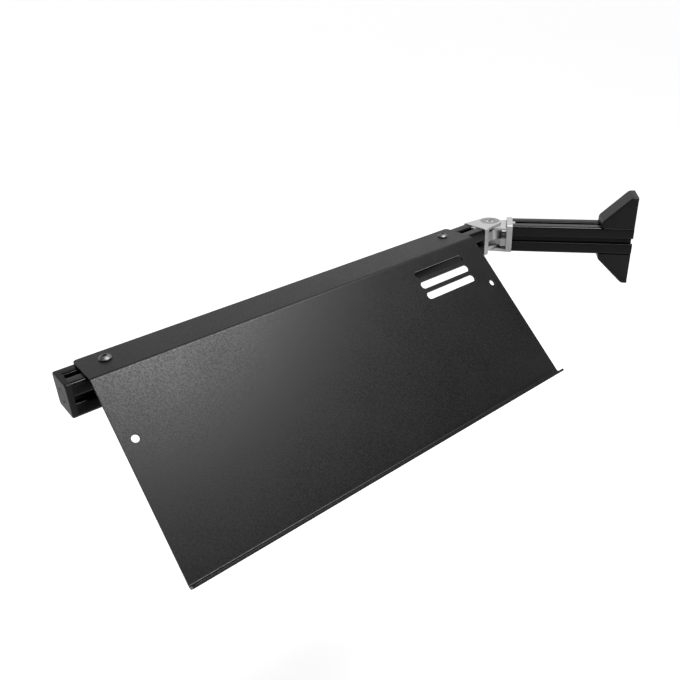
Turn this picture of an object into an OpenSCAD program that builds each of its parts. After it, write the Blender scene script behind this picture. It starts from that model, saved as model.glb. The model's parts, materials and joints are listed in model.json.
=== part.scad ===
// Swing-arm keyboard tray: a bent sheet-metal tray on a slotted beam,
// which swings on a vertical joint at the end of a short bracketed arm.
// The arm's end face lies on x = 0, and the arm runs towards -X.

/* [Profile] */
// Width and height of the square slotted profile
profile_w = 40; // [36:1:45]
// Radius of the profile's four long edges
profile_edge_r = 4; // [2:0.5:5]
// Width of the slot between its lips
slot_w = 8; // [6:0.5:9]
// Thickness of the slot's lips
slot_lip_t = 5; // [4:0.5:6]
// Width of the slot behind its lips
slot_inner_w = 20; // [16:1:20]
// Depth of the slot from the face
slot_depth = 12; // [11:0.5:13]
// Bore in the profile's core, tapped for the end bolts
core_bore_d = 8.1; // [6.1:0.1:8.1]
// Length of the arm profile
arm_len = 168.5; // [110:0.5:400]
// Length of the beam profile
beam_len = 612; // [600:1:900]

/* [Joint] */
// Swing of the beam from straight out, as it is modelled
swing = 50.3; // [-80:0.1:80]
// Thickness of each joint half's end plate
joint_plate_t = 8.4; // [7:0.1:12]
// Distance from the end plate to the pivot axis
pivot_reach = 25.2; // [23:0.1:30]
// How far the end plate stands proud of the profile all round
plate_proud = 1; // [0:0.1:1.5]
// Radius of the ears' round ends
ear_r = 16.8; // [16:0.1:18]
// Radius of the drum between the ears
drum_r = 19.3; // [17:0.1:20]
// How far the beam's drum reaches below the middle of the joint
drum_drop = 2.5; // [0:0.1:4]
// Wall of the arm's neck around the bush
neck_wall = 1.5; // [1.5:0.1:2.5]
// Thickness of the outer ears
outer_ear_t = 4.4; // [4:0.1:5]
// Thickness of the inner ears
inner_ear_t = 3.8; // [3:0.1:4]
// Gap between faces that turn past each other
turn_gap = 0.2; // [0.1:0.05:0.4]
// Radius of the end plates' long edges
plate_edge_r = 2.5; // [1:0.5:4]
// Diameter of the pivot bushes' bodies
bush_d = 18; // [17.5:0.5:20]
// Diameter of the pivot bushes' flanges, flush in the outer ears
bush_flange_d = 27; // [24:0.5:30]
// Thickness of the pivot bushes' flanges
bush_flange_t = 2.4; // [2:0.1:2.8]

/* [Tray] */
// Thickness of the tray's sheet
sheet_t = 3; // [2:0.5:4]
// Width of the tray along the beam
tray_w = 556; // [500:1:560]
// Distance from the beam profile's joint end to the tray
tray_offset = 40; // [36:1:50]
// Width of the top flange across the beam
flange_w = 50; // [46:1:60]
// How far the flange's back edge stays inside the beam's back face
flange_inset = 0.5; // [0:0.5:3]
// Angle of the sloping face below level
slope_angle = 43.3; // [30:0.1:60]
// Length of the sloping face from the fold to the outside of the lip
slope_len = 223; // [200:1:260]
// Height of the lip above the sloping face
lip_h = 12; // [8:1:25]
// Inside radius of the bends
bend_r = 1.5; // [1:0.5:3]
// Radius of the sheet's corners
corner_r = 5; // [3:0.5:8]
// Diameter of the two round holes in the sloping face
face_hole_d = 8.5; // [5.5:0.5:10.5]
// Distance of the round holes from the tray's ends
face_hole_side = 15; // [12:1:25]
// Distance of the round holes from the fold
face_hole_down = 72; // [70:1:110]
// Number of cable slots
cable_slot_count = 3; // [1:1:4]
// Width of each cable slot
cable_slot_w = 10; // [8:1:12]
// Length of each cable slot
cable_slot_len = 90; // [40:1:120]
// Distance between the cable slots' centre lines
cable_slot_pitch = 16; // [15:0.5:17]
// Distance of the first cable slot from the fold
cable_slot_down = 23; // [16:1:24]
// Distance of the cable slots from the tray's joint end
cable_slot_side = 38; // [30:1:60]
// Distance of the tray bolts from the tray's ends
tray_bolt_side = 28; // [18:1:40]

/* [Brackets] */
// Length of each bracket leg
bracket_leg = 43; // [40:1:50]
// Width of the brackets
bracket_w = 38; // [34:0.5:38]
// Thickness of the bracket legs
bracket_leg_t = 5; // [4:0.5:6]
// Thickness of the bracket's side cheeks
cheek_t = 4; // [3:0.5:5]
// Height of the blunt toes at the ends of the legs
toe_h = 7; // [6:0.5:9]
// Distance from the bracket's corner to its bolt holes
bracket_hole_pos = 22.5; // [20:0.5:24]
// Thickness of the bracket covers
cover_t = 2; // [1.5:0.1:2.5]

/* [Fasteners] */
// Thread diameter of the bolts
bolt_d = 8; // [6:1:8]
// Diameter of the bolts' clearance holes
bolt_hole_d = 8.5; // [8.4:0.1:9]
// Diameter of the button heads
button_head_d = 14; // [12:0.5:15]
// Height of the button heads
button_head_h = 4.4; // [3.5:0.1:5]
// Width across the flats of the hexagon sockets
hex_socket = 5; // [4:0.5:5]
// Diameter of the plain washers
washer_d = 16; // [15:0.5:18]
// Thickness of the plain washers
washer_t = 1.6; // [1:0.1:2]
// Diameter of the end bolts' countersunk heads
flat_head_d = 16; // [14:0.5:17]
// Length of the end bolts
end_bolt_len = 30; // [24:1:50]
// Length of the slot nuts
slot_nut_len = 22; // [16:1:26]
// Width across the flats of the pivot nut
pivot_nut_w = 13; // [12:0.5:13]

/* [End cap] */
// Thickness of the end cap
cap_t = 6; // [4:0.5:8]
// Length of the cap's pegs inside the profile
cap_peg_len = 12; // [8:1:16]
// Diameter of the round recess in the cap's end face
cap_recess_d = 16; // [10:0.5:28]
// Depth of the round recess
cap_recess_depth = 1; // [0.5:0.1:2]

/* [Hidden] */
$fn = 48;

// Clearances of the fits
thread_gap = 0.05;
pivot_gap = 0.05;
seat_gap = 0.1;
slide_gap = 0.1;
// Length by which a cut runs past the face that it opens
over = 1;

half_w = profile_w / 2;
// Slot mouth: a shallow flare from the face down to the lips
mouth_flare = 2.5;
mouth_w = slot_w + 2 * mouth_flare;
mouth_depth = 1.1;
slot_wall_h = 2;
slot_floor_w = 9;
core_peg_d = core_bore_d - 2 * seat_gap;

pivot_x = -(arm_len + joint_plate_t + pivot_reach);
joint_half_w = half_w + plate_proud;
ear_top = joint_half_w;
outer_ear_z = ear_top - outer_ear_t;
inner_ear_z = outer_ear_z - turn_gap - inner_ear_t;
drum_top = inner_ear_z - turn_gap;
neck_r = bush_d / 2 + neck_wall;
web_w = 32;
ear_base_inset = 1.5;
ear_base_half = joint_half_w - ear_base_inset;
// Short stop walls on the arm's end plate, in front of and behind its neck
stop_wall_x = 16.5;
stop_wall_t = 2.5;
stop_wall_low = 1.2;
lug_w = slot_w - 2 * seat_gap;
lug_len = 4;
lug_depth = 4.5;
lug_inset = 0.6;

// The pivot bolt's head and the pivot nut sit inside the bushes
pivot_head_d = 13;
pivot_head_h = 8;
pivot_socket = 6;
pivot_socket_depth = 4;
pivot_bolt_len = 30;
pivot_head_sink = 0.4;
pivot_head_bottom = ear_top - pivot_head_sink - pivot_head_h;
pivot_bolt_end = pivot_head_bottom - pivot_bolt_len;
pivot_nut_h = 6.5;
pivot_nut_seat = pivot_bolt_end + pivot_nut_h;
bush_end = 0.5;
flat_head_h = (flat_head_d - bolt_d) / 2;
end_bolt_socket = 5;
end_bolt_socket_depth = 2.8;
// Groove under the drum through which the end bolt is put in
groove_gap = 0.5;
bolt_groove_d = flat_head_d + 2 * groove_gap;

beam_start = pivot_reach + joint_plate_t;
beam_end = beam_start + beam_len;
tray_start = beam_start + tray_offset;
tray_bolt_s = [tray_start + tray_bolt_side, tray_start + tray_w - tray_bolt_side];

flange_back = half_w - flange_inset;
flange_front = flange_back - flange_w;
flange_z = half_w + slide_gap;
bend_outer_r = bend_r + sheet_t;
// Distance from a fold's corner to where its bend begins, for the outer corner
fold_setback = bend_outer_r * tan(slope_angle / 2);
slope_end = slope_len - sheet_t - bend_r;
bend_steps = 8;
lip_corner_r = 3;

slot_nut_w = 17;
slot_nut_wing_t = 3.5;
slot_nut_taper = 1.2;
slot_nut_neck_top = 1.2;
slot_nut_side_rise = 0.5;

cover_rim = 3;
bracket_bolt_len = 16;
tray_bolt_len = 14;
// A button head's dome is drawn on a radius this much above a full dome's,
// which leaves it a short upright rim
button_dome_extra = 0.6;
button_socket_floor = 1.5;

black = [0.09, 0.09, 0.1];
soft_black = [0.14, 0.14, 0.15];
cast_grey = [0.78, 0.79, 0.8];
steel = [0.55, 0.56, 0.58];
zinc = [0.7, 0.71, 0.73];

// Places what is drawn along +X from the pivot onto the beam, which leaves
// the pivot at the swing angle: x is the distance along the beam, and -y is
// the side on which the tray slopes down
module on_beam() {
    translate([pivot_x, 0, 0]) rotate([0, 0, swing]) mirror([1, 0, 0]) children();
}

// Centred square of width w with corners of radius r
module round_square(w, r) {
    square([w, w - 2 * r], center = true);
    square([w - 2 * r, w], center = true);
    for (x = [-1, 1], y = [-1, 1])
        translate([x * (w / 2 - r), y * (w / 2 - r)]) circle(r = r);
}

// Section of the slot in a profile's upper face
module slot_outline() {
    polygon([
        [-mouth_w / 2, half_w], [-mouth_w / 2, half_w + over],
        [mouth_w / 2, half_w + over], [mouth_w / 2, half_w],
        [slot_w / 2, half_w - mouth_depth], [slot_w / 2, half_w - slot_lip_t],
        [slot_inner_w / 2, half_w - slot_lip_t], [slot_inner_w / 2, half_w - slot_lip_t - slot_wall_h],
        [slot_floor_w / 2, half_w - slot_depth], [-slot_floor_w / 2, half_w - slot_depth],
        [-slot_inner_w / 2, half_w - slot_lip_t - slot_wall_h], [-slot_inner_w / 2, half_w - slot_lip_t],
        [-slot_w / 2, half_w - slot_lip_t], [-slot_w / 2, half_w - mouth_depth]
    ]);
}

// Slotted profile from x = 0 to x = len
module profile(len) {
    rotate([90, 0, 90]) linear_extrude(len) difference() {
        round_square(profile_w, profile_edge_r);
        for (turn = [0:3]) rotate(90 * turn) slot_outline();
        circle(d = core_bore_d);
    }
}

module arm_profile() {
    color(black) translate([-arm_len, 0, 0]) profile(arm_len);
}

module beam_profile() {
    color(black) on_beam() translate([beam_start, 0, 0]) profile(beam_len);
}

// Round bar along +Z
module bar(d, z0, z1) {
    translate([0, 0, z0]) cylinder(d = d, h = z1 - z0);
}

// Hexagonal bar along +Z
module hex_bar(flats, z0, z1) {
    translate([0, 0, z0]) cylinder(d = flats / cos(30), h = z1 - z0, $fn = 6);
}

// Button-head bolt: its head stands on z = 0 and its shank hangs down
module button_bolt(len) {
    dome_r = (button_head_h * button_head_h + pow(button_head_d / 2, 2)) / (2 * button_head_h)
        + button_dome_extra;
    difference() {
        union() {
            intersection() {
                bar(button_head_d, 0, button_head_h);
                translate([0, 0, button_head_h - dome_r]) sphere(r = dome_r);
            }
            bar(bolt_d, -len, 0);
        }
        hex_bar(hex_socket, button_socket_floor, button_head_h + over);
    }
}

// Slot nut below the top face of a profile, bored for its bolt
module slot_nut() {
    wing_top = -slot_lip_t - slide_gap;
    wing_side = -slot_lip_t - slot_wall_h + slot_nut_side_rise;
    wing_bottom = wing_top - slot_nut_wing_t - slot_nut_taper;
    difference() {
        union() {
            translate([-slot_nut_len / 2, -lug_w / 2, wing_top - slot_nut_wing_t])
                cube([slot_nut_len, lug_w, slot_nut_wing_t - wing_top - slot_nut_neck_top]);
            translate([-slot_nut_len / 2, 0, 0]) rotate([90, 0, 90]) linear_extrude(slot_nut_len) polygon([
                [-slot_nut_w / 2, wing_top], [slot_nut_w / 2, wing_top],
                [slot_nut_w / 2, wing_side], [lug_w / 2, wing_bottom],
                [-lug_w / 2, wing_bottom], [-slot_nut_w / 2, wing_side]
            ]);
        }
        bar(bolt_d + 2 * thread_gap, -slot_depth, over);
    }
}

// One half of the joint: the pivot axis is Z, its end plate lies towards +X,
// and its outer ear is the upper one
module joint_half(drum_is_full) {
    difference() {
        union() {
            translate([pivot_reach, 0, 0]) rotate([90, 0, 90])
                linear_extrude(joint_plate_t) round_square(2 * joint_half_w, plate_edge_r);
            ear(outer_ear_z, ear_top);
            ear(-inner_ear_z - inner_ear_t, -inner_ear_z);
            drum(drum_is_full);
            joint_lugs();
        }
        bar(bush_d + 2 * pivot_gap, -ear_top - over, ear_top + over);
        bar(bush_flange_d + 2 * seat_gap, ear_top - bush_flange_t, ear_top + over);
        rotate([0, 90, 0]) {
            bar(bolt_groove_d, -drum_r - over, pivot_reach);
            bar(bolt_hole_d, 0, pivot_reach + joint_plate_t + over);
            translate([0, 0, pivot_reach])
                cylinder(d1 = flat_head_d + 2 * seat_gap, d2 = bolt_d + 2 * seat_gap, h = flat_head_h);
        }
    }
}

// Flat ear that narrows from the end plate to its round end
module ear(z0, z1) {
    translate([0, 0, z0]) linear_extrude(z1 - z0) {
        circle(r = ear_r);
        polygon([
            [0, -ear_r], [pivot_reach + over, -ear_base_half],
            [pivot_reach + over, ear_base_half], [0, ear_r]
        ]);
    }
}

// Drum around the pivot with the web that joins it to the end plate. The one
// that isn't full is cut back to a neck between two stop walls on the plate
module drum(is_full) {
    drum_bottom = (is_full ? -drum_drop : drum_drop) + turn_gap / 2;
    drum_h = drum_top - drum_bottom;
    rib_w = is_full ? web_w : 2 * neck_r;
    translate([0, 0, drum_bottom]) {
        cylinder(r = is_full ? drum_r : neck_r, h = drum_h);
        translate([0, -rib_w / 2, 0]) cube([pivot_reach + over, rib_w, drum_h]);
    }
    if (!is_full) for (side = [-1, 1])
        translate([stop_wall_x, side * (ear_r - stop_wall_t / 2) - stop_wall_t / 2, stop_wall_low])
            cube([pivot_reach + over - stop_wall_x, stop_wall_t, drum_top - stop_wall_low]);
}

// Lugs that key the end plate into the profile's upper and lower slots
module joint_lugs() {
    lug_z = half_w - lug_inset - lug_depth / 2;
    for (side = [-1, 1])
        translate([pivot_reach + joint_plate_t - over, -lug_w / 2, side * lug_z - lug_depth / 2])
            cube([lug_len + over, lug_w, lug_depth]);
}

module arm_joint_half() {
    color(cast_grey) translate([pivot_x, 0, 0]) rotate([180, 0, 0]) joint_half(false);
}

module beam_joint_half() {
    color(cast_grey) on_beam() joint_half(true);
}

// Countersunk end bolt, from the joint's end plate into a profile's core
module end_bolt() {
    translate([pivot_reach, 0, 0]) rotate([0, 90, 0]) difference() {
        union() {
            cylinder(d1 = flat_head_d, d2 = bolt_d, h = flat_head_h);
            bar(bolt_d, 0, end_bolt_len);
        }
        hex_bar(end_bolt_socket, -over, end_bolt_socket_depth);
    }
}

module arm_end_bolt() {
    color(steel) translate([pivot_x, 0, 0]) end_bolt();
}

module beam_end_bolt() {
    color(steel) on_beam() end_bolt();
}

module pivot_bolt() {
    head_top = pivot_head_bottom + pivot_head_h;
    color(zinc) on_beam() difference() {
        union() {
            bar(pivot_head_d, pivot_head_bottom, head_top);
            bar(bolt_d, pivot_bolt_end, pivot_head_bottom);
        }
        hex_bar(pivot_socket, head_top - pivot_socket_depth, head_top + over);
    }
}

module pivot_nut() {
    color(zinc) on_beam() difference() {
        hex_bar(pivot_nut_w, pivot_nut_seat - pivot_nut_h, pivot_nut_seat);
        bar(bolt_d + 2 * thread_gap, -ear_top, 0);
    }
}

// Upper flanged bush, without the recess for its bolt or nut
module bush() {
    difference() {
        union() {
            bar(bush_flange_d, ear_top - bush_flange_t, ear_top);
            bar(bush_d, bush_end, ear_top);
        }
        bar(bolt_hole_d, 0, ear_top + over);
    }
}

module pivot_upper_bush() {
    color(steel) on_beam() difference() {
        bush();
        bar(pivot_head_d + 2 * seat_gap, pivot_head_bottom, ear_top + over);
    }
}

module pivot_lower_bush() {
    color(steel) on_beam() difference() {
        mirror([0, 0, 1]) bush();
        hex_bar(pivot_nut_w + 2 * seat_gap, -ear_top - over, pivot_nut_seat);
    }
}

module beam_end_cap() {
    color(soft_black) on_beam() translate([beam_end, 0, 0]) rotate([90, 0, 90]) {
        difference() {
            linear_extrude(cap_t) round_square(profile_w, profile_edge_r);
            bar(cap_recess_d, cap_t - cap_recess_depth, cap_t + over);
        }
        bar(core_peg_d, -cap_peg_len, over);
    }
}

// Point of the tray's section: u runs down the sloping face from the fold,
// and h stands up from that face
function slope_point(u, h) = [
    flange_front - u * cos(slope_angle) - h * sin(slope_angle),
    flange_z + sheet_t - u * sin(slope_angle) + h * cos(slope_angle)
];

// Draws on the sloping face: x runs along the tray from its joint end, y down
// the slope from the fold, and z stands up from the face
module on_slope() {
    translate([tray_start, flange_front, flange_z + sheet_t])
        rotate([slope_angle, 0, 0]) mirror([0, 1, 0]) children();
}

// One side of the bent sheet, from the flange's back edge to the lip's edge:
// the upper side at depth 0, and the lower one at the sheet's thickness
function sheet_side(depth) = concat(
    [[flange_back, flange_z + sheet_t - depth]],
    [for (i = [0:bend_steps]) let (turn = 90 + slope_angle * i / bend_steps)
        [flange_front + fold_setback, flange_z + sheet_t - bend_outer_r]
            + (bend_outer_r - depth) * [cos(turn), sin(turn)]],
    [for (i = [0:bend_steps]) let (turn = 90 * i / bend_steps - 90)
        slope_point(slope_end + (bend_r + depth) * cos(turn), bend_r + (bend_r + depth) * sin(turn))],
    [slope_point(slope_len - sheet_t + depth, lip_h)]
);

module tray_section() {
    upper = sheet_side(0);
    lower = sheet_side(sheet_t);
    polygon(concat(upper, [for (i = [len(lower) - 1:-1:0]) lower[i]]));
}

// What is cut off a square corner at the origin to round it
module corner_cut(r, height) {
    translate([0, 0, -over]) linear_extrude(height + 2 * over) difference() {
        translate([-over, -over]) square(r + over);
        translate([r, r]) circle(r = r);
    }
}

module tray_plate() {
    color(soft_black) on_beam() difference() {
        translate([tray_start, 0, 0]) rotate([90, 0, 90]) linear_extrude(tray_w) tray_section();
        for (end = [0, 1]) translate([tray_start + end * tray_w, 0, 0]) mirror([end, 0, 0]) {
            translate([0, flange_back, flange_z]) mirror([0, 1, 0]) corner_cut(corner_r, sheet_t);
        }
        for (s = tray_bolt_s) translate([s, 0, flange_z])
            bar(bolt_hole_d, -over, sheet_t + over);
        on_slope() {
            for (x = [face_hole_side, tray_w - face_hole_side])
                translate([x, face_hole_down, 0]) bar(face_hole_d, -sheet_t - over, over);
            for (i = [0:cable_slot_count - 1])
                translate([cable_slot_side, cable_slot_down + i * cable_slot_pitch, 0]) cable_slot();
            for (end = [0, 1]) translate([end * tray_w, slope_len, lip_h]) mirror([end, 0, 0])
                rotate([90, 0, 0]) mirror([0, 1, 0]) corner_cut(lip_corner_r, sheet_t);
        }
    }
}

// Round-ended slot cut through the sloping face, running along the tray
module cable_slot() {
    translate([0, 0, -sheet_t - over]) linear_extrude(sheet_t + 2 * over) {
        translate([cable_slot_w / 2, -cable_slot_w / 2])
            square([cable_slot_len - cable_slot_w, cable_slot_w]);
        for (x = [cable_slot_w / 2, cable_slot_len - cable_slot_w / 2])
            translate([x, 0]) circle(d = cable_slot_w);
    }
}

module tray_bolts() {
    color(steel) on_beam() for (s = tray_bolt_s)
        translate([s, 0, flange_z + sheet_t]) button_bolt(tray_bolt_len);
}

module tray_slot_nuts() {
    color(zinc) on_beam() for (s = tray_bolt_s)
        translate([s, 0, half_w]) slot_nut();
}

// Outline of a bracket's side, grown by the given amount on its outer sides:
// x runs along the arm up to the end face at 0, and y runs away from the arm
function bracket_outline(grow) = let (toe = toe_h + grow * (sqrt(2) - 1)) [
    [0, 0], [-bracket_leg - grow, 0], [-bracket_leg - grow, toe],
    [-toe, bracket_leg + grow], [0, bracket_leg + grow]
];

// Extrudes a side outline across the arm, centred on it
module across(w) {
    translate([0, w / 2, 0]) rotate([90, 0, 0]) linear_extrude(w) children();
}

// Bracket on the arm's upper face, with its corner at the origin
module bracket() {
    difference() {
        across(bracket_w) polygon(bracket_outline(0));
        translate([-bracket_leg - over, -bracket_w / 2 + cheek_t, bracket_leg_t])
            cube([bracket_leg + over - bracket_leg_t, bracket_w - 2 * cheek_t, bracket_leg + over]);
        translate([-bracket_hole_pos, 0, 0]) bar(bolt_hole_d, -over, bracket_leg_t + over);
        translate([0, 0, bracket_hole_pos]) rotate([0, -90, 0]) bar(bolt_hole_d, -over, bracket_leg_t + over);
    }
}

// Cover that closes the bracket's open slope and grips its cheeks with a rim
module bracket_cover() {
    difference() {
        across(profile_w) polygon(bracket_outline(cover_t));
        across(bracket_w + 2 * seat_gap) polygon(bracket_outline(seat_gap));
        across(profile_w + 2 * over) polygon(bracket_outline(-cover_rim));
    }
}

module upper_place() {
    translate([0, 0, half_w]) children();
}

module lower_place() {
    mirror([0, 0, 1]) upper_place() children();
}

module upper_bracket() {
    color(black) upper_place() bracket();
}

module lower_bracket() {
    color(black) lower_place() bracket();
}

module upper_bracket_cover() {
    color(soft_black) upper_place() bracket_cover();
}

module lower_bracket_cover() {
    color(soft_black) lower_place() bracket_cover();
}

// Draws a bracket's fastener on the arm's upper and lower faces
module on_both_brackets(height) {
    upper_place() translate([-bracket_hole_pos, 0, height]) children();
    lower_place() translate([-bracket_hole_pos, 0, height]) children();
}

module bracket_bolts() {
    color(steel) on_both_brackets(bracket_leg_t + washer_t) button_bolt(bracket_bolt_len);
}

module bracket_washers() {
    color(zinc) on_both_brackets(bracket_leg_t) difference() {
        bar(washer_d, 0, washer_t);
        bar(bolt_hole_d, -over, washer_t + over);
    }
}

module bracket_slot_nuts() {
    color(zinc) on_both_brackets(0) slot_nut();
}

arm_profile();
upper_bracket();
lower_bracket();
upper_bracket_cover();
lower_bracket_cover();
bracket_bolts();
bracket_washers();
bracket_slot_nuts();
arm_joint_half();
arm_end_bolt();
beam_joint_half();
beam_end_bolt();
pivot_bolt();
pivot_nut();
pivot_upper_bush();
pivot_lower_bush();
beam_profile();
beam_end_cap();
tray_plate();
tray_bolts();
tray_slot_nuts();
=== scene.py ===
# Swing-arm keyboard tray: finishes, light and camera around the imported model.
# The frame's +X runs along the short arm to its mounting face, +Z is up, and
# the beam with the tray swings on a vertical joint at the arm's other end.
# Shapes are drawn in millimetres and become metres where they are shown.

import json
import math

import bmesh
import bpy
from mathutils import Matrix, Vector

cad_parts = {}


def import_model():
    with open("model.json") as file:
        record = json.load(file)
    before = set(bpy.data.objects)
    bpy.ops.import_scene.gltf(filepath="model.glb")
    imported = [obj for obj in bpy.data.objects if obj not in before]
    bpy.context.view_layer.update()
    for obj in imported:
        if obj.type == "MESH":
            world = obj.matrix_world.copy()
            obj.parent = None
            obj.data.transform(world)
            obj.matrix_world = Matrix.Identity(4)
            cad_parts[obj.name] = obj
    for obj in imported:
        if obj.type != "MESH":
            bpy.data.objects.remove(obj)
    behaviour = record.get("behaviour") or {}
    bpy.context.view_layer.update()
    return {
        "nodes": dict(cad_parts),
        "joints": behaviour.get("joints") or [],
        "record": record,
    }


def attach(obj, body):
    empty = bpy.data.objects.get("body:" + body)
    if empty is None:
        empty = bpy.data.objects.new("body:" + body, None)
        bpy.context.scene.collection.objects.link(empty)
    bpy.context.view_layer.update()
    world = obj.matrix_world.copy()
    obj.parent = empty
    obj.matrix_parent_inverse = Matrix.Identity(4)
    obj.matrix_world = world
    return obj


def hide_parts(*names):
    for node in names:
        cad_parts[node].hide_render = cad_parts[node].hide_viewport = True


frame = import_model()
nodes = frame["nodes"]
scene = bpy.context.scene
MM = 0.001


def axes(x, y, z):
    """Turn that lays the three axes along these directions."""
    return Matrix((x, y, z)).transposed().to_4x4()


# Camera: measured from the photograph's edges

PHOTO_PX = 680
FOCAL_PX = 690.65
CENTRE_PX = (338.16, 324.95)
CAMERA_AT = Vector((-0.21028, -1.01655, 0.37049))
CAMERA_YAW = math.radians(12.959)
CAMERA_PITCH = math.radians(27.376)
CAMERA_ROLL = math.radians(-3.076)
SENSOR_MM = 36


def aim_camera():
    yaw, pitch, roll = CAMERA_YAW, CAMERA_PITCH, CAMERA_ROLL
    level = Vector((math.cos(yaw), math.sin(yaw), 0))
    ahead = Vector((
        -math.sin(yaw) * math.cos(pitch), math.cos(yaw) * math.cos(pitch), -math.sin(pitch),
    ))
    above = level.cross(ahead)
    right = math.cos(roll) * level + math.sin(roll) * above
    up = math.cos(roll) * above - math.sin(roll) * level
    data = bpy.data.cameras.new("camera")
    data.sensor_width = SENSOR_MM
    data.lens = SENSOR_MM * FOCAL_PX / PHOTO_PX
    data.shift_x = (PHOTO_PX / 2 - CENTRE_PX[0]) / PHOTO_PX
    data.shift_y = (CENTRE_PX[1] - PHOTO_PX / 2) / PHOTO_PX
    camera = bpy.data.objects.new("camera", data)
    camera.matrix_world = Matrix.Translation(CAMERA_AT) @ axes(right, up, -ahead)
    scene.collection.objects.link(camera)
    scene.camera = camera


aim_camera()

# Places: the beam's frame has x along the beam from the joint, y across it
# towards the sloping side, and z up; the arm's half of the joint is upside down

SWING = math.radians(50.3)
SLOPE = math.radians(43.3)
PIVOT = Vector(frame["joints"][0]["pos_m"])
ALONG = Vector((-math.cos(SWING), -math.sin(SWING), 0))
ACROSS = Vector((math.sin(SWING), -math.cos(SWING), 0))
UP = Vector((0, 0, 1))
UPSIDE_DOWN = Matrix.Rotation(math.pi, 4, "X")
BEAM = Matrix.Translation(PIVOT) @ axes(ALONG, ACROSS, UP)
ARM_JOINT = Matrix.Translation(PIVOT) @ UPSIDE_DOWN
ARM_END = Matrix.Identity(4)

# Sizes that the pieces share, in millimetres

PROFILE_HALF = 20
PLATE_HALF = 21
PLATE_T = 8.4
REACH = 25.2
TURN_GAP = 0.2
BUSH_R = 9
FLANGE_R = 13.5
FLANGE_T = 2.4
FIT = 0.1
BOLT_R = 4
BOLT_HOLE_R = 4.25
BEAM_LEN = 612
TRAY_IN = 40
TRAY_W = 556
TRAY_BOLT_IN = 28
BEAM_START = REACH + PLATE_T
BEAM_END = BEAM_START + BEAM_LEN
TRAY_START = BEAM_START + TRAY_IN
TRAY_BOLTS = (TRAY_START + TRAY_BOLT_IN, TRAY_START + TRAY_W - TRAY_BOLT_IN)
SHEET_T = 3
SHEET_Z = PROFILE_HALF + FIT

# What a round shape is divided into, and how far a cutter reaches past its cut

ROUND = 64
OVER = 1

# Finishes

NOISE_MIDDLE = (0.3, 0.7)
PLATING_SPREAD = 0.12


class Finish:
    """Shader nodes of one material, with Object coordinates in millimetres."""

    def __init__(self, name):
        self.material = bpy.data.materials.new(name)
        self.material.use_nodes = True
        self.tree = self.material.node_tree
        self.shader = self.tree.nodes["Principled BSDF"]
        coordinates = self.tree.nodes.new("ShaderNodeTexCoord")
        self.place = self.mapped(coordinates.outputs["Object"], scale=(1 / MM, 1 / MM, 1 / MM))

    def node(self, kind, **settings):
        made = self.tree.nodes.new("ShaderNode" + kind)
        for key, value in settings.items():
            setattr(made, key, value)
        return made

    def link(self, output, target):
        self.tree.links.new(output, target)

    def mapped(self, vector, scale, turn_z=0.0):
        mapping = self.node("Mapping")
        mapping.inputs["Scale"].default_value = scale
        mapping.inputs["Rotation"].default_value = (0, 0, turn_z)
        self.link(vector, mapping.inputs["Vector"])
        return mapping.outputs["Vector"]

    def noise(self, size_mm, detail=2.0, rough=0.5, vector=None):
        texture = self.node("TexNoise")
        texture.inputs["Scale"].default_value = 1 / size_mm
        texture.inputs["Detail"].default_value = detail
        texture.inputs["Roughness"].default_value = rough
        self.link(vector or self.place, texture.inputs["Vector"])
        return texture.outputs["Fac"]

    def ramp(self, value, starts, ends, low=0.0, high=1.0):
        """Grey level that goes from low to high as the value goes from starts to ends."""
        ramp = self.node("ValToRGB")
        stops = ((starts, low), (ends, high))
        for point, (position, level) in zip(ramp.color_ramp.elements, stops):
            point.position = position
            point.color = (*grey(level), 1)
        self.link(value, ramp.inputs["Fac"])
        return ramp.outputs["Color"]

    def spread(self, noise, low, high):
        """Levels from low to high over the middle of a noise."""
        return self.ramp(noise, *NOISE_MIDDLE, low, high)

    def blend(self, factor, low, high):
        mix = self.node("Mix", data_type="RGBA")
        self.link(factor, mix.inputs["Factor"])
        for socket, value in (("A", low), ("B", high)):
            if isinstance(value, tuple):
                mix.inputs[socket].default_value = (*value, 1)
            else:
                self.link(value, mix.inputs[socket])
        return mix.outputs["Result"]

    def colour(self, output):
        self.link(output, self.shader.inputs["Base Color"])

    def roughness(self, output):
        self.link(output, self.shader.inputs["Roughness"])

    def bump(self, height, distance_mm):
        bump = self.node("Bump")
        bump.inputs["Distance"].default_value = distance_mm * MM
        bump.inputs["Strength"].default_value = 1
        self.link(height, bump.inputs["Height"])
        previous = self.shader.inputs["Normal"].links
        if previous:
            self.link(previous[0].from_socket, bump.inputs["Normal"])
        self.link(bump.outputs["Normal"], self.shader.inputs["Normal"])

    def set(self, **values):
        for name, value in values.items():
            self.shader.inputs[name.replace("_", " ")].default_value = value


def grey(level):
    return (level, level, level)


def powder_coat():
    """Fine-textured satin black powder coat with a faint mottling of duller flecks."""
    finish = Finish("tray_powder_coat")
    grains = finish.noise(size_mm=0.8, detail=3, rough=0.7)
    fleck = finish.noise(size_mm=1.9, detail=2, rough=0.6)
    clouds = finish.noise(size_mm=45, detail=3)
    light_grains = finish.ramp(grains, starts=0.4, ends=0.7)
    finish.colour(finish.blend(light_grains, low=grey(0.002), high=grey(0.006)))
    satin = finish.spread(clouds, low=0.37, high=0.4)
    dull = finish.spread(clouds, low=0.48, high=0.51)
    finish.roughness(finish.blend(finish.ramp(fleck, starts=0.42, ends=0.62), low=satin, high=dull))
    finish.bump(grains, distance_mm=0.03)
    finish.bump(fleck, distance_mm=0.02)
    finish.set(Specular_IOR_Level=0.33)
    return finish.material


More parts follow.
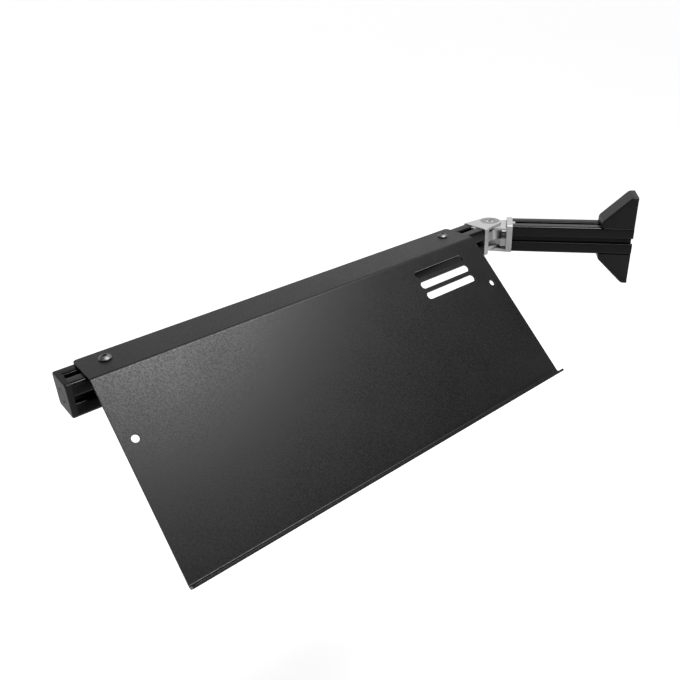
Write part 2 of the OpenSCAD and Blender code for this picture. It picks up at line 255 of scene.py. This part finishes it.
def anodised(name, turn_z):
    """Black anodised extrusion with fine drawing lines along its length."""
    finish = Finish(name)
    drawn = finish.mapped(finish.place, scale=(0.004, 1, 1), turn_z=turn_z)
    lines = finish.noise(size_mm=0.35, detail=2, vector=drawn)
    grain = finish.noise(size_mm=0.12)
    finish.colour(finish.blend(lines, low=grey(0.0025), high=grey(0.0045)))
    finish.roughness(finish.spread(lines, low=0.21, high=0.28))
    finish.bump(lines, distance_mm=0.012)
    finish.bump(grain, distance_mm=0.004)
    finish.set(Specular_IOR_Level=0.14)
    return finish.material


def moulded_plastic():
    """Matt black plastic with a spark-eroded grain."""
    finish = Finish("cover_plastic")
    grain = finish.noise(size_mm=0.6, detail=3, rough=0.6)
    finish.colour(finish.blend(grain, low=grey(0.003), high=grey(0.006)))
    finish.roughness(finish.spread(grain, low=0.42, high=0.54))
    finish.bump(grain, distance_mm=0.035)
    finish.set(Specular_IOR_Level=0.2)
    return finish.material


def black_casting():
    """Black coated die casting."""
    finish = Finish("bracket_black")
    grain = finish.noise(size_mm=1.2, detail=3)
    finish.colour(finish.blend(grain, low=grey(0.006), high=grey(0.011)))
    finish.roughness(finish.spread(grain, low=0.42, high=0.55))
    finish.bump(grain, distance_mm=0.05)
    finish.set(Specular_IOR_Level=0.2)
    return finish.material


def bare_casting():
    """Tumbled aluminium die casting: light, dull, with faint flow marks."""
    finish = Finish("joint_casting")
    grain = finish.noise(size_mm=0.35, detail=3, rough=0.6)
    marks = finish.noise(size_mm=7, detail=4, rough=0.6)
    pale_marks = finish.spread(marks, low=0, high=1)
    finish.colour(finish.blend(pale_marks, low=grey(0.4), high=grey(0.5)))
    finish.roughness(finish.spread(marks, low=0.36, high=0.46))
    finish.bump(grain, distance_mm=0.02)
    finish.set(Metallic=0.5)
    return finish.material


def turned_steel(name, dark, light, rough):
    """Plated steel with the fine patches that turning and plating leave."""
    finish = Finish(name)
    rings = finish.noise(size_mm=0.25, detail=2)
    patches = finish.noise(size_mm=4, detail=3)
    finish.colour(finish.blend(patches, low=grey(dark), high=grey(light)))
    finish.roughness(finish.spread(patches, low=rough, high=rough + PLATING_SPREAD))
    finish.bump(rings, distance_mm=0.006)
    finish.set(Metallic=0.95)
    return finish.material


FINISHES = {
    "tray_powder_coat": powder_coat(),
    "cover_plastic": moulded_plastic(),
    "bracket_black": black_casting(),
    "joint_casting": bare_casting(),
    "bush_steel": turned_steel("bush_steel", dark=0.26, light=0.34, rough=0.32),
    "bolt_steel": turned_steel("bolt_steel", dark=0.5, light=0.62, rough=0.26),
    "tray_bolt_steel": turned_steel("tray_bolt_steel", dark=0.13, light=0.19, rough=0.44),
    "zinc_steel": turned_steel("zinc_steel", dark=0.5, light=0.64, rough=0.3),
}
ARM_ANODISED = anodised("arm_anodised", turn_z=0)
BEAM_ANODISED = anodised("beam_anodised", turn_z=-SWING)

SLOT_OF = {part["node"]: part["material_slot"] for part in frame["record"]["subparts"]}
BODY_OF = {
    node: body
    for body, members in frame["record"]["behaviour"]["bodies"].items()
    for node in members
}


def finish_of(node):
    if node == "arm_profile":
        return ARM_ANODISED
    if node == "beam_profile":
        return BEAM_ANODISED
    return FINISHES[SLOT_OF[node]]


# Shaping tools

MERGE_WITHIN = 1e-4
NEAR = 0.1
OVERLAP = 0.01
CORNER_ANGLE = math.radians(28)
SMOOTH_UP_TO = math.radians(50)


def moved(made, matrix):
    bmesh.ops.transform(made, matrix=matrix, verts=made.verts[:])
    return made


def at(made, x, y=0.0, z=0.0):
    return moved(made, Matrix.Translation((x, y, z)))


def lengthwise(made):
    """Turns what is drawn along z to lie along x."""
    return moved(made, Matrix.Rotation(math.pi / 2, 4, "Y"))


def box(low, high):
    """Box between two corners."""
    low, high = Vector(low), Vector(high)
    made = bmesh.new()
    bmesh.ops.create_cube(made, size=1)
    bmesh.ops.scale(made, verts=made.verts[:], vec=high - low)
    return at(made, *(low + high) / 2)


def rod(radius, start, end, end_radius=None, sides=ROUND):
    """Round, tapered or many-sided bar along z."""
    made = bmesh.new()
    bmesh.ops.create_cone(
        made, cap_ends=True, segments=sides, radius1=radius,
        radius2=radius if end_radius is None else end_radius, depth=end - start,
    )
    return at(made, 0, 0, (start + end) / 2)


def hexagon(flats, start, end):
    return rod(flats / math.sqrt(3), start, end, sides=6)


def lathe(points, closed=False):
    """Turns an outline of (radius, height) points about z."""
    made = bmesh.new()
    chain = [made.verts.new((radius, 0, height)) for radius, height in points]
    edges = [made.edges.new(pair) for pair in zip(chain, chain[1:])]
    if closed:
        edges.append(made.edges.new((chain[-1], chain[0])))
    bmesh.ops.spin(
        made, geom=chain + edges, cent=(0, 0, 0), axis=(0, 0, 1), dvec=(0, 0, 0),
        angle=2 * math.pi, steps=ROUND, use_merge=True,
    )
    bmesh.ops.remove_doubles(made, verts=made.verts[:], dist=MERGE_WITHIN)
    bmesh.ops.recalc_face_normals(made, faces=made.faces[:])
    return made


def extruded(outline, length):
    """Pushes a closed outline of points along x."""
    made = bmesh.new()
    face = made.faces.new([made.verts.new(point) for point in outline])
    pushed = bmesh.ops.extrude_face_region(made, geom=[face])
    ends = [item for item in pushed["geom"] if isinstance(item, bmesh.types.BMVert)]
    bmesh.ops.translate(made, verts=ends, vec=(length, 0, 0))
    bmesh.ops.recalc_face_normals(made, faces=made.faces[:])
    return made


def added(name, made):
    """Makes an object of a shape and links it to the scene."""
    mesh = bpy.data.meshes.new(name)
    made.to_mesh(mesh)
    made.free()
    piece = bpy.data.objects.new(name, mesh)
    scene.collection.objects.link(piece)
    return piece


def combine(base, tools, operation):
    """Joins tools to a base or cuts them from it, and returns the result."""
    parts = [added("step", made) for made in (base, *tools)]
    for tool in parts[1:]:
        step = parts[0].modifiers.new("step", "BOOLEAN")
        step.operation = operation
        step.solver = "EXACT"
        step.object = tool
    bpy.context.view_layer.update()
    shaped = parts[0].evaluated_get(bpy.context.evaluated_depsgraph_get())
    result = bmesh.new()
    result.from_mesh(shaped.to_mesh())
    shaped.to_mesh_clear()
    for part in parts:
        mesh = part.data
        bpy.data.objects.remove(part)
        bpy.data.meshes.remove(mesh)
    bmesh.ops.remove_doubles(result, verts=result.verts[:], dist=MERGE_WITHIN)
    return result


def joined(base, *tools):
    return combine(base, tools, "UNION")


def cut(base, *tools):
    return combine(base, tools, "DIFFERENCE")


def both(first, second):
    """One mesh of two pieces that don't touch."""
    mesh = bpy.data.meshes.new("step")
    second.to_mesh(mesh)
    second.free()
    first.from_mesh(mesh)
    bpy.data.meshes.remove(mesh)
    return first


def join_flat(made, angle):
    """Makes one face of neighbours that lie in one plane within the angle."""
    bmesh.ops.dissolve_limit(
        made, angle_limit=angle, use_dissolve_boundaries=False,
        verts=made.verts[:], edges=made.edges[:],
    )


def corners(made, sharper_than=CORNER_ANGLE):
    """Edges where two faces meet at an outward corner."""
    return [
        edge for edge in made.edges
        if edge.is_manifold and edge.is_convex and edge.calc_face_angle() > sharper_than
    ]


def round_off(made, edges, width, segments=3):
    bmesh.ops.bevel(
        made, geom=edges, offset=width, offset_type="OFFSET", affect="EDGES",
        segments=segments, profile=0.5, material=-1, clamp_overlap=True,
    )
    return made


def middle(edge):
    return (edge.verts[0].co + edge.verts[1].co) / 2


def direction(edge):
    return (edge.verts[1].co - edge.verts[0].co).normalized()


def runs_lengthwise(edge):
    return abs(direction(edge).x) > 0.9


def runs_level(edge):
    return abs(direction(edge).z) < 0.5


def show(made, node, place):
    """Makes the object that is seen in the place of a CAD node."""
    moved(made, place @ Matrix.Scale(MM, 4))
    for face in made.faces:
        face.smooth = True
    piece = added(node + "_finished", made)
    piece.data.set_sharp_from_angle(angle=SMOOTH_UP_TO)
    piece.data.materials.append(finish_of(node))
    flat = piece.modifiers.new("flat_faces", "WEIGHTED_NORMAL")
    flat.keep_sharp = True
    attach(piece, BODY_OF[node])
    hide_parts(node)


# Tray plate: one bent sheet with rounded corners, round holes and cable slots

FLANGE_BACK = -19.5
FLANGE_W = 50
SLOPE_LEN = 223
LIP_H = 12
FOLD_R = 2.5
LIP_BEND_R = 2
BEND_STEPS = 10
CORNER_R = 5
LIP_CORNER_R = 3
CORNER_STEPS = 10
CORNER_WITHIN = 0.5
SHEET_EDGE_R = 0.35
SHEET_EDGE_ANGLE = math.radians(60)
FACE_HOLE_IN = 15
FACE_HOLE_DOWN = 72
FACE_HOLE_R = 4.25
SLOT_START = 38
SLOT_ROWS = (23, 39, 55)
SLOT_LEN = 90
SLOT_W = 10
THROUGH = 10


def down_slope(u, h):
    """Point of the tray's section: u down the slope from the fold, h above it."""
    cos, sin = math.cos(SLOPE), math.sin(SLOPE)
    y = FLANGE_BACK + FLANGE_W + u * cos + h * sin
    return Vector((0, y, SHEET_Z + SHEET_T - u * sin + h * cos))


ON_SLOPE = Matrix.Translation(down_slope(0, 0)) @ Matrix.Rotation(-SLOPE, 4, "X")


def arc(centre, radius, start, turn):
    """Points of a bend in the tray's section, by angles from the y direction."""
    angles = [start + turn * step / BEND_STEPS for step in range(BEND_STEPS + 1)]
    return [centre + radius * Vector((0, math.cos(angle), math.sin(angle))) for angle in angles]


def sheet_side(depth):
    """One side of the bent sheet, at a depth below its upper side."""
    outer = FOLD_R + SHEET_T
    fold = down_slope(0, 0) + Vector((0, -outer * math.tan(SLOPE / 2), -outer))
    lip = down_slope(SLOPE_LEN - SHEET_T - LIP_BEND_R, LIP_BEND_R)
    quarter = math.pi / 2
    return [
        Vector((0, FLANGE_BACK, SHEET_Z + SHEET_T - depth)),
        *arc(fold, outer - depth, quarter, -SLOPE),
        *arc(lip, LIP_BEND_R + depth, -quarter - SLOPE, quarter),
        down_slope(SLOPE_LEN - SHEET_T + depth, LIP_H),
    ]


def cable_slot():
    """Round-ended cutter lying along x, from its end at the origin."""
    radius = SLOT_W / 2
    made = rod(radius, -THROUGH, THROUGH)
    bmesh.ops.bisect_plane(
        made, geom=made.verts[:] + made.edges[:] + made.faces[:], dist=MERGE_WITHIN / 10,
        plane_co=(0, 0, 0), plane_no=(1, 0, 0),
    )
    half = [vert for vert in made.verts if vert.co.x > MERGE_WITHIN]
    bmesh.ops.translate(made, verts=half, vec=(SLOT_LEN - SLOT_W, 0, 0))
    return at(made, radius)


def tray_plate():
    made = extruded(sheet_side(0) + sheet_side(SHEET_T)[::-1], TRAY_W)
    flange_end = Vector((0, FLANGE_BACK, SHEET_Z + SHEET_T / 2))
    lip_end = down_slope(SLOPE_LEN - SHEET_T / 2, LIP_H)
    for spot, radius in ((flange_end, CORNER_R), (lip_end, LIP_CORNER_R)):
        chosen = [
            edge for edge in made.edges
            if not runs_lengthwise(edge) and (middle(edge).yz - spot.yz).length < CORNER_WITHIN
        ]
        round_off(made, chosen, radius, CORNER_STEPS)
    cutters = [
        at(rod(FACE_HOLE_R, -THROUGH, THROUGH), x, FACE_HOLE_DOWN)
        for x in (FACE_HOLE_IN, TRAY_W - FACE_HOLE_IN)
    ]
    cutters += [at(cable_slot(), SLOT_START, row) for row in SLOT_ROWS]
    cutters = [moved(cutter, ON_SLOPE) for cutter in cutters]
    cutters += [
        at(rod(BOLT_HOLE_R, SHEET_Z - THROUGH, SHEET_Z + THROUGH), bolt - TRAY_START)
        for bolt in TRAY_BOLTS
    ]
    made = cut(made, *cutters)
    round_off(made, corners(made, SHEET_EDGE_ANGLE), SHEET_EDGE_R)
    show(at(made, TRAY_START), "tray_plate", BEAM)


tray_plate()

# Joint halves: die castings with a drum or neck between two ears on an end plate

EAR_R = 16.8
EAR_BASE_HALF = PLATE_HALF - 1.5
OUTER_EAR = (16.6, 21.0)
INNER_EAR = (12.6, 16.4)
OUTER_EAR_ROUND = 1.5
INNER_EAR_ROUND = 1
EAR_ROUND_STEPS = 5
CAST_EDGE_R = 0.5
PLATE_CORNER_R = 2.5
PLATE_CORNER_STEPS = 8
PLATE_EDGE_R = 0.6
LUG_SPAN = (14.9, 19.4)
LUG_HALF = 3.9
LUG_REACH = 4
LUG_EDGE_R = 0.4
DRUM_R = 19.3
DRUM_TOP = 12.4
DRUM_DROP = 2.5
WEB_HALF = 16
NECK_R = 10.5
SIDE_WALL_T = 2.5
SIDE_WALL_START = 16.5
SIDE_WALL_LOW = 1.2
FLAT_HEAD_R = 8
FLAT_HEAD_ROOM = 0.5
COUNTERSINK = 4


def ear(span, outer_round):
    """Flat ear with a round end; its upper face's outline is rounded more."""
    made = bmesh.new()
    for height in span:
        bmesh.ops.create_circle(
            made, segments=ROUND, radius=EAR_R, matrix=Matrix.Translation((0, 0, height)),
        )
        for side in (-1, 1):
            made.verts.new((REACH + OVER, side * EAR_BASE_HALF, height))
    hull = bmesh.ops.convex_hull(made, input=made.verts[:])
    leftover = hull["geom_interior"] + hull["geom_unused"]
    spare = {item for item in leftover if isinstance(item, bmesh.types.BMVert)}
    bmesh.ops.delete(made, geom=list(spare), context="VERTS")
    join_flat(made, math.radians(1))
    bmesh.ops.recalc_face_normals(made, faces=made.faces[:])
    rim = [edge for edge in corners(made) if runs_level(edge) and middle(edge).x < REACH]
    upper = [edge for edge in rim if middle(edge).z > sum(span) / 2]
    lower = [edge for edge in rim if middle(edge).z < sum(span) / 2]
    round_off(made, upper, outer_round, EAR_ROUND_STEPS)
    round_off(made, [edge for edge in lower if edge.is_valid], CAST_EDGE_R)
    return made


def end_plate():
    made = box((REACH, -PLATE_HALF, -PLATE_HALF), (REACH + PLATE_T, PLATE_HALF, PLATE_HALF))
    long_edges = [edge for edge in made.edges if runs_lengthwise(edge)]
    round_off(made, long_edges, PLATE_CORNER_R, PLATE_CORNER_STEPS)
    return round_off(made, corners(made), PLATE_EDGE_R)


def lug(side):
    """Key that sits in the profile's upper or lower slot."""
    low, high = sorted(side * height for height in LUG_SPAN)
    end = REACH + PLATE_T
    made = box((end - OVER, -LUG_HALF, low), (end + LUG_REACH, LUG_HALF, high))
    return round_off(made, corners(made), LUG_EDGE_R)


def drum(full):
    """Drum or neck around the pivot, and the web that joins it to the plate."""
    low = (-DRUM_DROP if full else DRUM_DROP) + TURN_GAP / 2
    half = WEB_HALF if full else NECK_R
    body = rod(DRUM_R if full else NECK_R, low, DRUM_TOP)
    round_off(body, corners(body), CAST_EDGE_R)
    web = box((0, -half, low), (REACH + OVER, half, DRUM_TOP))
    walls = []
    if not full:
        for side in (-1, 1):
            near, far = sorted((side * EAR_R, side * (EAR_R - SIDE_WALL_T)))
            walls.append(box(
                (SIDE_WALL_START, near, SIDE_WALL_LOW), (REACH + OVER, far, DRUM_TOP),
            ))
    return [body, web, *walls]


def joint_half(node, full, place):
    outer = ear(OUTER_EAR, OUTER_EAR_ROUND)
    inner = moved(ear(INNER_EAR, INNER_EAR_ROUND), UPSIDE_DOWN)
    made = joined(end_plate(), outer, inner, *drum(full), lug(1), lug(-1))
    top = PLATE_HALF + OVER
    bores = [
        rod(BUSH_R + FIT / 2, -top, top),
        rod(FLANGE_R + FIT, PLATE_HALF - FLANGE_T, top),
        lengthwise(rod(FLAT_HEAD_R + FLAT_HEAD_ROOM, -DRUM_R - OVER, REACH)),
        lengthwise(rod(BOLT_HOLE_R, 0, REACH + PLATE_T + OVER)),
        lengthwise(rod(FLAT_HEAD_R + FIT, REACH - OVERLAP, REACH + COUNTERSINK, BOLT_R + FIT)),
    ]
    show(cut(made, *bores), node, place)


joint_half("beam_joint_half", True, BEAM)
joint_half("arm_joint_half", False, ARM_JOINT)

# Turned pieces: the pivot's bush and bolt, and the button-head bolts

PIVOT_HEAD_R = 6.5
PIVOT_HEAD_H = 8
PIVOT_HEAD_TOP = PLATE_HALF - 0.4
PIVOT_HEAD_EDGE = 0.4
PIVOT_SHANK = 30
PIVOT_TIP = 0.6
PIVOT_KEY_DEPTH = 4
BUSH_EDGE = 0.3
BUSH_LOW = 0.5
HEX_KEY = 5
HEAD_R = 7
HEAD_H = 4.4
HEAD_WALL = 1.3
HEAD_RIM = 0.2
HEAD_UNDERCUT = 0.6
DOME_STEPS = 10
KEY_FLOOR = 1.2
KEY_MOUTH_R = (2.5, 3.4)
KEY_MOUTH_SPAN = (HEAD_H - 0.7, HEAD_H + 0.1)
SHANK_TIP = 0.5
TRAY_BOLT_LEN = 14
BRACKET_BOLT_LEN = 16
BRACKET_BOLT_X = -22.5
BRACKET_LEG_T = 5
WASHER_T = 1.6


def upper_bush():
    head = PIVOT_HEAD_R + FIT
    seat = PIVOT_HEAD_TOP - PIVOT_HEAD_H
    top = PLATE_HALF
    made = lathe([
        (head, top), (FLANGE_R - BUSH_EDGE, top), (FLANGE_R, top - BUSH_EDGE),
        (FLANGE_R, top - FLANGE_T), (BUSH_R, top - FLANGE_T), (BUSH_R, BUSH_LOW),
        (BOLT_HOLE_R, BUSH_LOW), (BOLT_HOLE_R, seat), (head, seat),
    ], closed=True)
    show(made, "pivot_upper_bush", BEAM)


def pivot_bolt():
    top = PIVOT_HEAD_TOP
    under = top - PIVOT_HEAD_H
    end = under - PIVOT_SHANK
    made = lathe([
        (0, top), (PIVOT_HEAD_R - PIVOT_HEAD_EDGE, top), (PIVOT_HEAD_R, top - PIVOT_HEAD_EDGE),
        (PIVOT_HEAD_R, under), (BOLT_R, under), (BOLT_R, end + PIVOT_TIP),
        (BOLT_R - PIVOT_TIP, end), (0, end),
    ])
    made = cut(made, hexagon(HEX_KEY, top - PIVOT_KEY_DEPTH, top + OVER))
    show(made, "pivot_bolt", BEAM)


def button_bolt(length):
    """Button-head bolt whose head stands on z = 0."""
    rise = HEAD_H - HEAD_WALL
    dome = (rise ** 2 + HEAD_R ** 2) / (2 * rise)
    radii = [HEAD_R * step / DOME_STEPS for step in range(DOME_STEPS + 1)]
    heights = [HEAD_H - dome + math.sqrt(dome ** 2 - radius ** 2) for radius in radii]
    made = lathe([
        *zip(radii, heights), (HEAD_R, HEAD_WALL - HEAD_RIM), (HEAD_R - HEAD_UNDERCUT, 0),
        (BOLT_R, 0), (BOLT_R, SHANK_TIP - length), (BOLT_R - SHANK_TIP, -length), (0, -length),
    ])
    low_r, high_r = KEY_MOUTH_R
    mouth = rod(low_r, *KEY_MOUTH_SPAN, high_r)
    return cut(made, hexagon(HEX_KEY, KEY_FLOOR, HEAD_H + OVER), mouth)


def button_bolts():
    heads = [at(button_bolt(TRAY_BOLT_LEN), x, 0, SHEET_Z + SHEET_T) for x in TRAY_BOLTS]
    show(both(*heads), "tray_bolts", BEAM)
    seat = PROFILE_HALF + BRACKET_LEG_T + WASHER_T
    upper, lower = [at(button_bolt(BRACKET_BOLT_LEN), BRACKET_BOLT_X, 0, seat) for _ in range(2)]
    show(both(upper, moved(lower, UPSIDE_DOWN)), "bracket_bolts", ARM_END)


upper_bush()
pivot_bolt()
button_bolts()

# End cap: moulded black plastic, with a ring groove in its face

CAP_T = 6
CAP_EDGE_R = 4
CAP_EDGE_STEPS = 10
CAP_FACE_ROUND = 2
CAP_FACE_STEPS = 6
RING_R = 8
RING_W = 0.9
RING_DEPTH = 0.8
PEG_R = 3.95
PEG_LEN = 12


def end_cap():
    made = box((0, -PROFILE_HALF, -PROFILE_HALF), (CAP_T, PROFILE_HALF, PROFILE_HALF))
    long_edges = [edge for edge in made.edges if runs_lengthwise(edge)]
    round_off(made, long_edges, CAP_EDGE_R, CAP_EDGE_STEPS)
    rim = [edge for edge in corners(made) if middle(edge).x > CAP_T - NEAR]
    round_off(made, rim, CAP_FACE_ROUND, CAP_FACE_STEPS)
    ring = cut(rod(RING_R, 0, OVER), rod(RING_R - RING_W, -OVER, 2 * OVER))
    made = cut(made, at(lengthwise(ring), CAP_T - RING_DEPTH))
    made = joined(made, lengthwise(rod(PEG_R, -PEG_LEN, OVER)))
    show(at(made, BEAM_END), "beam_end_cap", BEAM)


end_cap()

# CAD nodes whose shape is kept, with their sharp edges rounded

COVER_LEG = 45
COVER_TOE = 7.83
COVER_CLEAR = 0.5
SLOT_MOUTH = 2
CAD_MERGE_WITHIN = 1e-3
EDGE_STEPS = 2
EDGE_ROUNDING = {
    "upper_bracket": 0.5,
    "lower_bracket": 0.5,
    "pivot_lower_bush": 0.3,
    "pivot_nut": 0.3,
    "arm_end_bolt": 0.2,
    "beam_end_bolt": 0.2,
    "bracket_washers": 0.2,
    "bracket_slot_nuts": 0.3,
    "tray_slot_nuts": 0.3,
}


def every(edge):
    return True


def slot_lip(edge):
    """Edge of a profile's slot at its mouth."""
    spot = middle(edge)
    return runs_lengthwise(edge) and max(abs(spot.y), abs(spot.z)) > PROFILE_HALF - SLOT_MOUTH


def cover_outline(edge):
    """Outer edge of a bracket's cover, off the arm and off the mounting face."""
    spot = middle(edge)
    x, height = spot.x, abs(spot.z) - PROFILE_HALF
    reach = abs(max(-x, height) - COVER_LEG) < NEAR
    slope = abs(height - x - COVER_LEG - COVER_TOE) < NEAR
    return (reach or slope) and height > COVER_CLEAR and x < -COVER_CLEAR


def soften(node, place, *rounds):
    """Copy of a CAD node with rounded edges: rounds are (test of an edge, width, steps)."""
    made = bmesh.new()
    made.from_mesh(nodes[node].data)
    moved(made, Matrix.Scale(1 / MM, 4) @ place.inverted())
    bmesh.ops.remove_doubles(made, verts=made.verts[:], dist=CAD_MERGE_WITHIN)
    join_flat(made, math.radians(0.5))
    for chosen, width, steps in rounds:
        round_off(made, [edge for edge in corners(made) if chosen(edge)], width, steps)
    show(made, node, place)


PROFILE_ROUNDS = ((slot_lip, 0.8, 4), (every, 0.25, EDGE_STEPS))
COVER_ROUNDS = ((cover_outline, 3, 6), (every, 0.3, EDGE_STEPS))

for node, place in (("arm_profile", ARM_END), ("beam_profile", BEAM)):
    soften(node, place, *PROFILE_ROUNDS)
for node in ("upper_bracket_cover", "lower_bracket_cover"):
    soften(node, ARM_END, *COVER_ROUNDS)
for node, width in EDGE_ROUNDING.items():
    soften(node, ARM_END, (every, width, EDGE_STEPS))

# Stage, in metres: a white floor that curves up into a wall all round, and soft light

FLOOR_Z = -0.75
WALL_R = 6.0
WALL_TOP = 2.2
WALL_CURVE = 0.5
WALL_STEPS = 12
WHITE_SEEN = 0.88
WHITE_BASE = 0.6
MATT = 0.9
CEILING_LOW = (-4.5, -5.5, 2.4)
CEILING_HIGH = (6, 2.2, 2.45)
CEILING_BASE = 0.05
SKY = 0.16
KEY_AIM = PIVOT + (ALONG * 0.35 + ACROSS * 0.1) + Vector((0, 0, -0.04))
KEY_TOWARDS = Vector((0.3, 0.03, 0.942)).normalized()
KEY_DISTANCE = 2.2
KEY_SIZE = 0.9
KEY_WATTS = 71


def white_when_seen(tree, level):
    """Node output that is the level on camera, glossy and transmission rays, or else 0."""
    path = tree.nodes.new("ShaderNodeLightPath")
    output = path.outputs["Is Camera Ray"]
    for ray in ("Is Glossy Ray", "Is Transmission Ray"):
        either = tree.nodes.new("ShaderNodeMath")
        either.operation = "MAXIMUM"
        tree.links.new(output, either.inputs[0])
        tree.links.new(path.outputs[ray], either.inputs[1])
        output = either.outputs[0]
    scaled = tree.nodes.new("ShaderNodeMath")
    scaled.operation = "MULTIPLY"
    tree.links.new(output, scaled.inputs[0])
    scaled.inputs[1].default_value = level
    return scaled.outputs[0]


def studio_finish(name, level):
    finish = Finish(name)
    finish.set(Base_Color=(*grey(level), 1), Roughness=MATT)
    return finish


def backdrop():
    """Pale floor and wall, which also glow enough to look white where they are seen."""
    start, rise = WALL_R - WALL_CURVE, FLOOR_Z + WALL_CURVE
    bend = [math.pi / 2 * step / WALL_STEPS for step in range(WALL_STEPS + 1)]
    curve = [
        (start + WALL_CURVE * math.sin(turn), rise - WALL_CURVE * math.cos(turn))
        for turn in bend
    ]
    made = lathe([(0, FLOOR_Z), *curve, (WALL_R, WALL_TOP)])
    bmesh.ops.reverse_faces(made, faces=made.faces[:])
    for face in made.faces:
        face.smooth = True
    wall = added("backdrop", made)
    white = studio_finish("studio_white", WHITE_BASE)
    white.set(Emission_Color=(1, 1, 1, 1))
    glow = white_when_seen(white.tree, WHITE_SEEN)
    white.link(glow, white.shader.inputs["Emission Strength"])
    wall.data.materials.append(white.material)


def ceiling():
    """Dark studio ceiling above the lamp: the glossy pieces reflect it, no camera sees it."""
    above = added("ceiling", box(CEILING_LOW, CEILING_HIGH))
    above.data.materials.append(studio_finish("studio_ceiling", CEILING_BASE).material)
    above.visible_camera = False


def world():
    """Even light from all round, white where it is seen or reflected."""
    sky = bpy.data.worlds.new("studio")
    sky.use_nodes = True
    tree = sky.node_tree
    background = tree.nodes["Background"]
    background.inputs["Color"].default_value = (1, 1, 1, 1)
    brighter = tree.nodes.new("ShaderNodeMath")
    brighter.operation = "MAXIMUM"
    brighter.inputs[0].default_value = SKY
    tree.links.new(white_when_seen(tree, 1), brighter.inputs[1])
    tree.links.new(brighter.outputs[0], background.inputs["Strength"])
    scene.world = sky


def key_lamp():
    """Square soft lamp that stands off from the tray and faces it."""
    lamp = bpy.data.lights.new("key", "AREA")
    lamp.shape = "SQUARE"
    lamp.size = KEY_SIZE
    lamp.energy = KEY_WATTS
    light = bpy.data.objects.new("key", lamp)
    light.location = KEY_AIM + KEY_TOWARDS * KEY_DISTANCE
    light.rotation_euler = (-KEY_TOWARDS).to_track_quat("-Z", "Y").to_euler()
    scene.collection.objects.link(light)


backdrop()
ceiling()
world()
key_lamp()

scene.view_settings.view_transform = "Standard"
